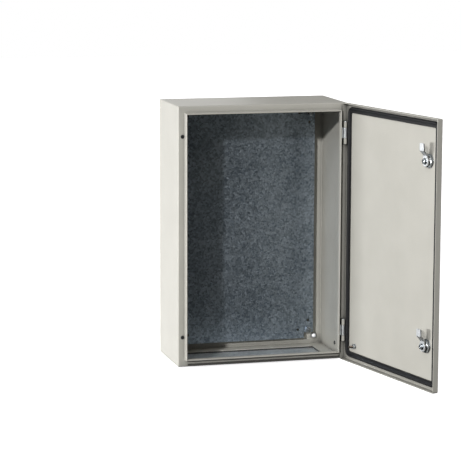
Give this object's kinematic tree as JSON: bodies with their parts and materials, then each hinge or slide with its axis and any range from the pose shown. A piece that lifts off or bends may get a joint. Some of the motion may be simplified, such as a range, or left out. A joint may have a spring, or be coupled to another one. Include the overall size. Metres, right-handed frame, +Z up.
{
  "type": "wall enclosure",
  "caption": "Sheet-steel wall enclosure with a hinged, foam-sealed door, cam locks, a mounting plate and a gland plate in its floor.",
  "frame": {"origin": "centre of the rectangle of wall-fixing holes, on the back face that lies on the wall", "axes": "+Z up, +Y into the wall, so the door faces -Y, and +X to the right of someone who faces the door"},
  "size_m": [0.4861, 0.5759, 0.605],
  "materials": {
    "powder_coat": "fine-textured semi-matt powder coat",
    "galvanised_sheet": "galvanised, spangled, dull",
    "foam_seal": "foamed in place, satin skin",
    "rubber_seal": "matt",
    "plug_plastic": "moulded, matt",
    "plated_zinc_casting": "satin nickel-chrome plate on a zinc casting",
    "copper_plate": "copper-flashed weld stud",
    "zinc_plate": "bright zinc plate"
  },
  "bodies": {
    "enclosure": {"body_wrap": "powder_coat", "back_panel": "powder_coat", "wall_fixing_bushes": "zinc_plate", "mounting_plate": "galvanised_sheet", "plate_studs": "zinc_plate", "plate_sleeves": "zinc_plate", "plate_washers": "zinc_plate", "plate_nuts": "zinc_plate", "gland_plate": "galvanised_sheet", "gland_gasket": "rubber_seal", "gland_screws": "zinc_plate", "flange_hole_plugs": "plug_plastic", "side_hole_plug": "plug_plastic", "hinge_block_upper": "zinc_plate", "hinge_block_lower": "zinc_plate", "hinge_screws": "zinc_plate"},
    "door": {"door_panel": "powder_coat", "door_gasket": "foam_seal", "hinge_leaf_upper": "powder_coat", "hinge_leaf_lower": "powder_coat", "hinge_pin_upper": "zinc_plate", "hinge_pin_lower": "zinc_plate", "door_earth_stud": "copper_plate", "door_earth_nut": "zinc_plate", "lock_housing_upper": "plated_zinc_casting", "lock_housing_lower": "plated_zinc_casting", "lock_seal_upper": "rubber_seal", "lock_seal_lower": "rubber_seal", "lock_washer_upper": "zinc_plate", "lock_washer_lower": "zinc_plate", "lock_nut_upper": "zinc_plate", "lock_nut_lower": "zinc_plate"},
    "upper_lock": {"lock_core_upper": "plated_zinc_casting", "lock_cam_upper": "zinc_plate", "cam_screw_upper": "zinc_plate"},
    "lower_lock": {"lock_core_lower": "plated_zinc_casting", "lock_cam_lower": "zinc_plate", "cam_screw_lower": "zinc_plate"}
  },
  "joints": [
    {"name": "door_hinge", "type": "hinge", "parent": "enclosure", "child": "door", "pos_m": [0.1935, -0.1905, 0], "axis": [0, 0, 1], "range_deg": [-102.3, 9.7]},
    {"name": "upper_lock_turn", "type": "hinge", "parent": "door", "child": "upper_lock", "pos_m": [0.27014, -0.52792, 0.204], "axis": [0.977, 0.213, 0], "range_deg": [0, 90]},
    {"name": "lower_lock_turn", "type": "hinge", "parent": "door", "child": "lower_lock", "pos_m": [0.27014, -0.52792, -0.204], "axis": [0.977, 0.213, 0], "range_deg": [0, 90]}
  ]
}
